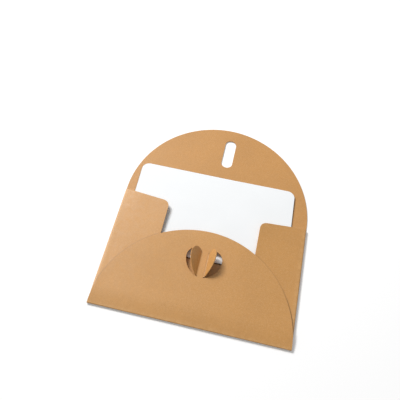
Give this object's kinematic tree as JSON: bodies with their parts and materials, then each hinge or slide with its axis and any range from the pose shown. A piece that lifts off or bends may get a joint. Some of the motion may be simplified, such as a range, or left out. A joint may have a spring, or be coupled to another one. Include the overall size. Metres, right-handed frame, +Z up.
{
  "type": "card envelope",
  "caption": "Small folded kraft envelope, opened, with a heart-cut front flap, a slotted rounded top flap and a blank card drawn half out of its pocket.",
  "frame": {"origin": "centre of the back panel's underside, midway between the body's outer folds", "axes": "+X across the envelope to the right, +Y from the bottom fold to the tip of the open top flap, +Z up out of the face that the flaps fold over"},
  "size_m": [0.1, 0.1285, 0.0092],
  "materials": {
    "kraft_board": "uncoated kraft board, matt, with fine fibres",
    "kraft_inside": "uncoated kraft board, matt, with fine fibres, a little darker",
    "card_white": "smooth white card, matt"
  },
  "bodies": {
    "back_panel": {"back_panel": "kraft_inside"},
    "front_flap": {"front_flap": "kraft_board"},
    "top_flap": {"top_flap": "kraft_inside"},
    "left_side_flap": {"left_side_flap": "kraft_board"},
    "right_side_flap": {"right_side_flap": "kraft_board"},
    "left_heart_wing": {"left_heart_wing": "kraft_board"},
    "right_heart_wing": {"right_heart_wing": "kraft_board"},
    "insert_card": {"insert_card": "card_white"}
  },
  "joints": [
    {"name": "front_flap_fold", "type": "hinge", "parent": "back_panel", "child": "front_flap", "pos_m": [0, -0.0343, 0.0007], "axis": [1, 0, 0], "range_deg": [0, 168]},
    {"name": "left_side_fold", "type": "hinge", "parent": "back_panel", "child": "left_side_flap", "pos_m": [-0.0491, 0, 0.0009], "axis": [0, -1, 0], "range_deg": [0, 33.6]},
    {"name": "right_side_fold", "type": "hinge", "parent": "back_panel", "child": "right_side_flap", "pos_m": [0.0491, 0, 0.0009], "axis": [0, 1, 0], "range_deg": [0, 33.6]},
    {"name": "top_flap_fold", "type": "hinge", "parent": "back_panel", "child": "top_flap", "pos_m": [0, 0.035, 0.002], "axis": [-1, 0, 0], "range_deg": [-169, 0], "deforming": ["insert_card"]},
    {"name": "left_wing_fold", "type": "hinge", "parent": "front_flap", "child": "left_heart_wing", "pos_m": [-0.002, -0.03433, 0.00207], "axis": [0, -0.9997, -0.0251], "range_deg": [-45, 45]},
    {"name": "right_wing_fold", "type": "hinge", "parent": "front_flap", "child": "right_heart_wing", "pos_m": [0.002, -0.03433, 0.00207], "axis": [0, 0.9997, 0.0251], "range_deg": [-28, 62]},
    {"name": "card_slide", "type": "slide", "parent": "back_panel", "child": "insert_card", "axis": [-0.0244, 0.9997, 0], "range_m": [-0.034, 0.034]}
  ],
  "couplings": [
    {"joint": "left_side_fold", "follows": "front_flap_fold", "ratio": 0.2},
    {"joint": "right_side_fold", "follows": "front_flap_fold", "ratio": 0.2}
  ]
}
